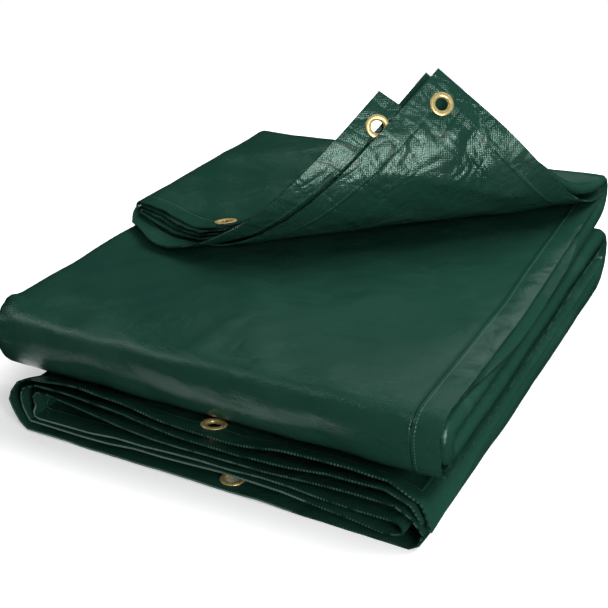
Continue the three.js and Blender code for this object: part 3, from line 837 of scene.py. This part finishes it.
def colour_mix(tree, share, first, second):
    node = tree.nodes.new("ShaderNodeMix")
    node.data_type = "RGBA"
    for name, value in (("Factor", share), ("A", first), ("B", second)):
        if isinstance(value, bpy.types.NodeSocket):
            connect(tree, value, node.inputs[name])
        else:
            node.inputs[name].default_value = value if isinstance(value, float) else (*value, 1)
    return node.outputs["Result"]


def cloth_material(name, settings, flat_size, groups, rim):
    """The coated cloth, or the cut and stitched rim where its threads show; on the rim the colour carries
    painted shade and a painted rim highlight.
    """
    material, tree, shader = blank_material(name)
    uv = tree.nodes.new("ShaderNodeUVMap")
    uv.uv_map = "flat"
    place = uv.outputs["UV"]
    weave = place_group(tree, groups["weave"], Flat_place=place, Threads_per_metre=1 / settings.weave_period)
    crumple = place_group(tree, groups["crumple"], Flat_place=place)
    width, length = flat_size
    seam = place_group(
        tree, groups["seam"], Flat_place=place, Width=width, Length=length, Hem=settings.hem_width
    )
    colour = np.array(settings.cloth_colour[:3])
    thread = math_node(tree, "MULTIPLY", seam.outputs["Thread"], 0.5)
    if rim:
        # Painted shade: the rim face is coloured at under half the coating's colour, for the shade that lies
        # on it.
        ground = colour * 0.45
        # The rim's light dashes are partly its cut threads and partly a painted highlight along the edge.
        thread = math_node(tree, "MAXIMUM", math_node(tree, "MULTIPLY", seam.outputs["Beat"], 0.3), thread)
    else:
        haze = math_node(tree, "MULTIPLY", crumple.outputs["Haze"], 0.5)
        lines = math_node(tree, "MULTIPLY", crumple.outputs["Lines"], 0.1)
        ground = colour_mix(tree, haze, colour, colour * 1.4 + 0.003)
        ground = colour_mix(tree, lines, ground, colour * 2 + 0.01)
    connect(tree, colour_mix(tree, thread, ground, colour * 4 + 0.05), shader.inputs["Base Color"])
    sleek, dull = settings.cloth_roughness * 0.8, settings.cloth_roughness * 1.6
    connect(tree, remap(tree, crumple.outputs["Haze"], 0, 1, sleek, dull), shader.inputs["Roughness"])
    shader.inputs["Specular Tint"].default_value = (0.62, 1.0, 0.82, 1)
    shader.inputs["Coat Weight"].default_value = 0.04 if rim else 0.12
    shader.inputs["Coat Roughness"].default_value = 0.22
    height = math_node(tree, "MULTIPLY", weave.outputs["Height"], crumple.outputs["Stretch"])
    height = math_node(tree, "MULTIPLY", height, settings.weave_depth)
    for output, depth in (
        (crumple.outputs["Dents"], 0.005),
        (crumple.outputs["Crinkles"], 0.0045),
        (crumple.outputs["Lines"], 0.00004),
        (seam.outputs["Thread"], 0.0004),
        (seam.outputs["Groove"], -0.0006),
    ):
        height = math_node(tree, "MULTIPLY_ADD", output, depth, height)
    bump = tree.nodes.new("ShaderNodeBump")
    bump.inputs["Distance"].default_value = 1.0
    bump.inputs["Strength"].default_value = 1.0
    connect(tree, height, bump.inputs["Height"])
    connect(tree, bump.outputs["Normal"], shader.inputs["Normal"])
    return material


def brass_material(settings):
    """Pressed brass, a little duller in patches."""
    material, tree, shader = blank_material("eyelet brass")
    place = tree.nodes.new("ShaderNodeTexCoord").outputs["Object"]
    dull = noise(tree, place, 180, 3)
    colour = np.array(settings.brass_colour[:3])
    connect(tree, colour_mix(tree, dull, colour, colour * 0.72), shader.inputs["Base Color"])
    connect(tree, remap(tree, dull, 0.3, 0.7, 0.22, 0.36), shader.inputs["Roughness"])
    shader.inputs["Metallic"].default_value = 0.68
    bump = tree.nodes.new("ShaderNodeBump")
    bump.inputs["Distance"].default_value = 0.0001
    connect(tree, noise(tree, place, 900, 2), bump.inputs["Height"])
    connect(tree, bump.outputs["Normal"], shader.inputs["Normal"])
    return material


def eyelet_mesh(name, middle, axis):
    """The rolled brass ring, its barrel and the washer behind, turned about the eyelet's axis."""
    sideways = np.cross(axis, [0.0, 0.0, 1.0] if abs(axis[2]) < 0.9 else [1.0, 0.0, 0.0])
    sideways /= np.linalg.norm(sideways)
    upwards = np.cross(axis, sideways)
    vertices = []
    for k in range(EYELET_STEPS):
        angle = 2 * math.pi * k / EYELET_STEPS
        spoke = math.cos(angle) * sideways + math.sin(angle) * upwards
        vertices += [tuple((middle + r * spoke + z * axis) * MM) for r, z in EYELET_SECTION]
    count = len(EYELET_SECTION)
    faces = []
    for k in range(EYELET_STEPS):
        for i in range(count):
            a, b = k * count + i, k * count + (i + 1) % count
            after = (k + 1) % EYELET_STEPS - k
            faces.append((b, a, a + after * count, b + after * count))
    mesh = bpy.data.meshes.new(name)
    mesh.from_pydata(vertices, [], faces)
    mesh.polygons.foreach_set("use_smooth", np.ones(len(faces), bool))
    mesh.set_sharp_from_angle(angle=math.radians(60))
    return mesh


class TarpSettings(bpy.types.PropertyGroup):
    cloth_colour: FloatVectorProperty(
        name="Cloth colour", description="Colour of the coating", subtype="COLOR", size=3, min=0, max=1,
        default=(0.0078, 0.034, 0.0235),
    )
    cloth_roughness: FloatProperty(
        name="Cloth roughness", description="How dull the coating is", subtype="FACTOR",
        min=0.05, max=1, default=0.24,
    )
    cloth_thickness: FloatProperty(
        name="Cloth thickness", description="Thickness of the single cloth", unit="LENGTH", precision=4,
        min=0.0003, max=0.0016, default=0.001,
    )
    hem_width: FloatProperty(
        name="Hem width", description="Width of the turned and stitched hem", unit="LENGTH",
        min=0.01, max=0.04, default=0.025,
    )
    weave_period: FloatProperty(
        name="Weave period", description="Distance from one thread to the next but one", unit="LENGTH",
        precision=4, min=0.0008, max=0.004, default=0.0026,
    )
    weave_depth: FloatProperty(
        name="Weave depth", description="How far the threads stand through the coating", unit="LENGTH",
        precision=5, min=0, max=0.0005, default=0.0001,
    )
    brass_colour: FloatVectorProperty(
        name="Brass colour", description="Colour of the eyelets", subtype="COLOR", size=3, min=0, max=1,
        default=(0.86, 0.68, 0.29),
    )
    light_level: FloatProperty(
        name="Light level", description="Scales the six panel lights", min=0, max=5, default=1
    )
    dome_strength: FloatProperty(
        name="Surround", description="Brightness of the white surround", min=0, max=3, default=0.42
    )


class TARP_OT_cloth(bpy.types.Operator):
    """Builds the folded cloth"""

    bl_idname = "tarp.cloth"
    bl_label = "Build the cloth"

    def execute(self, context):
        settings = context.scene.tarp
        cloth = ClothMesh(settings)
        for middle, axis in eyelet_places().values():
            cloth.cut_hole(middle, axis)
        groups = {"weave": weave_group(), "crumple": crumple_group(), "seam": seam_group()}
        materials = [
            cloth_material("coated cloth", settings, cloth.flat_size, groups, False),
            cloth_material("cloth rim", settings, cloth.flat_size, groups, True),
        ]
        made = add_object("tarp_cloth", cloth.build("tarp_cloth"), materials)
        nodes = [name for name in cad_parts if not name.startswith("eyelet_")]
        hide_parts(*nodes)
        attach(made, "root")
        return {"FINISHED"}


class TARP_OT_eyelets(bpy.types.Operator):
    """Builds the brass eyelets"""

    bl_idname = "tarp.eyelets"
    bl_label = "Build the eyelets"

    def execute(self, context):
        brass = brass_material(context.scene.tarp)
        for name, (middle, axis) in eyelet_places().items():
            piece = f"brass_eyelet_{name}"
            ring = add_object(piece, eyelet_mesh(piece, middle, axis), [brass])
            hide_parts(f"eyelet_{name}")
            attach(ring, "root")
        return {"FINISHED"}


def facing(place, aside, upwards, backwards):
    """The matrix of a light or camera at a place, by its three axes. Both look against their third."""
    turn = Matrix(np.stack([aside, upwards, backwards], axis=1).tolist()).to_4x4()
    return Matrix.Translation(place) @ turn


def area_light(name, place, size, power):
    """A panel light that faces the bundle."""
    data = bpy.data.lights.new(name, "AREA")
    data.shape = "RECTANGLE"
    data.size, data.size_y = size
    data.energy = power
    light = bpy.data.objects.new(name, data)
    towards = np.array(LIGHT_TARGET) - np.array(place)
    towards = towards / np.linalg.norm(towards)
    aside = np.cross(towards, [0, 1, 0] if abs(towards[2]) > 0.95 else [0, 0, 1])
    aside /= np.linalg.norm(aside)
    light.matrix_world = facing(place, aside, np.cross(aside, towards), -towards)
    bpy.context.scene.collection.objects.link(light)
    return light


def floor_material():
    """A pale floor that throws little light back at the cloth, and glows where it has to look white."""
    material, tree, shader = blank_material("pale floor")
    shader.inputs["Roughness"].default_value = 0.7
    path = tree.nodes.new("ShaderNodeLightPath").outputs
    colour = colour_mix(tree, path["Is Diffuse Ray"], FLOOR_COLOUR, FLOOR_BOUNCE)
    connect(tree, colour, shader.inputs["Base Color"])
    shader.inputs["Emission Color"].default_value = (1, 1, 1, 1)
    glow = math_node(tree, "MULTIPLY", path["Is Camera Ray"], FLOOR_GLOW)
    glow = math_node(tree, "MULTIPLY_ADD", path["Is Glossy Ray"], FLOOR_MIRRORED, glow)
    split = tree.nodes.new("ShaderNodeSeparateXYZ")
    connect(tree, tree.nodes.new("ShaderNodeNewGeometry").outputs["Position"], split.inputs["Vector"])
    past = [
        math_node(tree, "GREATER_THAN", math_node(tree, "ABSOLUTE", split.outputs[axis]), reach)
        for axis, reach in BUNDLE_REACH.items()
    ]
    glow = math_node(tree, "MULTIPLY", glow, math_node(tree, "MAXIMUM", *past))
    connect(tree, glow, shader.inputs["Emission Strength"])
    return material


def floor_piece(name, corners, faces, material, seen_in_gloss):
    mesh = bpy.data.meshes.new(name)
    mesh.from_pydata(corners, [], faces)
    made = add_object(name, mesh, [material])
    made.visible_glossy = seen_in_gloss
    made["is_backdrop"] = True


class TARP_OT_studio(bpy.types.Operator):
    """Sets the floor, the lights and the camera"""

    bl_idname = "tarp.studio"
    bl_label = "Set the studio"

    def execute(self, context):
        scene = context.scene
        material = floor_material()
        x0, x1, y0, y1 = NEAR_FLOOR
        near = [(x0, y0, 0), (x1, y0, 0), (x1, y1, 0), (x0, y1, 0)]
        far = [(x * FLOOR_REACH, y * FLOOR_REACH, 0) for x, y in ((-1, -1), (1, -1), (1, 1), (-1, 1))]
        floor_piece("near floor", near, [(0, 1, 2, 3)], material, True)
        ring = [(k, (k + 1) % 4, (k + 1) % 4 + 4, k + 4) for k in range(4)]
        floor_piece("far floor", far + near, ring, material, False)
        world = bpy.data.worlds.new("studio")
        world.use_nodes = True
        tree = world.node_tree
        background = tree.nodes["Background"]
        background.inputs["Color"].default_value = (1, 1, 1, 1)
        seen = tree.nodes.new("ShaderNodeLightPath").outputs["Is Camera Ray"]
        level = scene.tarp.dome_strength
        strength = math_node(tree, "MULTIPLY_ADD", seen, SEEN_SURROUND - level, level)
        connect(tree, strength, background.inputs["Strength"])
        world.cycles_visibility.glossy = False
        scene.world = world
        for name, bearing, rise, distance, size, radiance, mirrored in LIGHTS:
            lit = radiance * math.pi * size[0] * size[1] * scene.tarp.light_level
            out = distance * math.cos(math.radians(rise))
            place = (
                out * math.sin(math.radians(bearing)),
                out * math.cos(math.radians(bearing)),
                LIGHT_TARGET[2] + distance * math.sin(math.radians(rise)),
            )
            area_light(name, place, size, lit).visible_glossy = mirrored
        yaw, pitch, roll = CAMERA_ANGLES
        level = math.cos(pitch)
        forward = np.array([math.sin(yaw) * level, math.cos(yaw) * level, -math.sin(pitch)])
        right = np.array([math.cos(yaw), -math.sin(yaw), 0])
        up = np.cross(right, forward)
        rolled_right = right * math.cos(roll) + up * math.sin(roll)
        rolled_up = up * math.cos(roll) - right * math.sin(roll)
        data = bpy.data.cameras.new("photo view")
        data.sensor_width = CAMERA_SENSOR
        data.lens = CAMERA_LENS
        camera = bpy.data.objects.new("photo view", data)
        camera.matrix_world = facing(CAMERA_PLACE, rolled_right, rolled_up, -forward)
        scene.collection.objects.link(camera)
        scene.camera = camera
        scene.view_settings.view_transform = "Standard"
        return {"FINISHED"}


class TARP_PT_panel(bpy.types.Panel):
    """Lists the tarp's settings and builders"""

    bl_idname = "TARP_PT_panel"
    bl_label = "Folded tarp"
    bl_space_type = "VIEW_3D"
    bl_region_type = "UI"
    bl_category = "Tarp"

    def draw(self, context):
        for name in TarpSettings.__annotations__:
            self.layout.prop(context.scene.tarp, name)
        for operator in OPERATORS:
            self.layout.operator(operator.bl_idname)


OPERATORS = (TARP_OT_cloth, TARP_OT_eyelets, TARP_OT_studio)
CLASSES = (TarpSettings, *OPERATORS, TARP_PT_panel)


def register():
    for cls in CLASSES:
        bpy.utils.register_class(cls)
    bpy.types.Scene.tarp = PointerProperty(type=TarpSettings)


def unregister():
    del bpy.types.Scene.tarp
    for cls in reversed(CLASSES):
        bpy.utils.unregister_class(cls)


def main():
    register()
    bpy.ops.tarp.cloth()
    bpy.ops.tarp.eyelets()
    bpy.ops.tarp.studio()
    sizes = {"cad": CAD_BOUNDS, "visual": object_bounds()}
    plain = {key: [[float(v) for v in corner] for corner in box] for key, box in sizes.items()}


if __name__ == "__main__":
    main()
